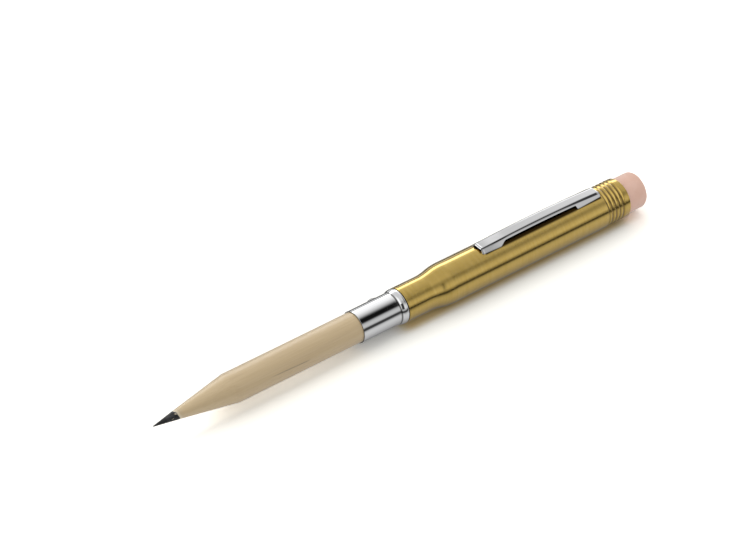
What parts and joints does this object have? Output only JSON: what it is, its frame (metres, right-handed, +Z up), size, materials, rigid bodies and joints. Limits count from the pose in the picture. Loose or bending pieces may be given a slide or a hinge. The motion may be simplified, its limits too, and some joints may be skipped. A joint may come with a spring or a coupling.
{
  "type": "bullet pencil",
  "caption": "Pocket bullet pencil: brass barrel with spring clip and ribbed eraser ferrule, and a chromed reversible holder gripping a sharpened wood-cased pencil.",
  "frame": {"origin": "middle of the whole length in use, on the surface that the barrel lies on", "axes": "+X along the pencil towards the writing point, +Z up through the clip, +Y across"},
  "size_m": [0.1372, 0.01, 0.0111],
  "materials": {
    "brass": "satin, turned",
    "eraser_rubber": "matte",
    "chrome": "polished plating",
    "wood": "bare, unpainted",
    "graphite": "dull graphite"
  },
  "bodies": {
    "barrel": {"barrel": "brass", "eraser_ferrule": "brass"},
    "holder": {"pencil_holder": "chrome"},
    "pencil": {"pencil_slat_upper": "wood", "pencil_slat_lower": "wood", "pencil_lead": "graphite"},
    "eraser": {"eraser": "eraser_rubber"},
    "clip": {"clip": "chrome"}
  },
  "joints": [
    {"name": "holder_pull", "type": "slide", "parent": "barrel", "child": "holder", "axis": [1, 0, 0], "range_m": [0, 0.023]},
    {"name": "pencil_slide", "type": "slide", "parent": "holder", "child": "pencil", "axis": [1, 0, 0], "range_m": [-0.01, 0.018]},
    {"name": "eraser_pull", "type": "slide", "parent": "barrel", "child": "eraser", "axis": [-1, 0, 0], "range_m": [0, 0.0085]},
    {"name": "clip_flex", "type": "hinge", "parent": "barrel", "child": "clip", "pos_m": [-0.05488, 0, 0.00964], "axis": [0, -1, 0], "range_deg": [0, 6], "stiffness_Nm_per_rad": 1.2}
  ]
}
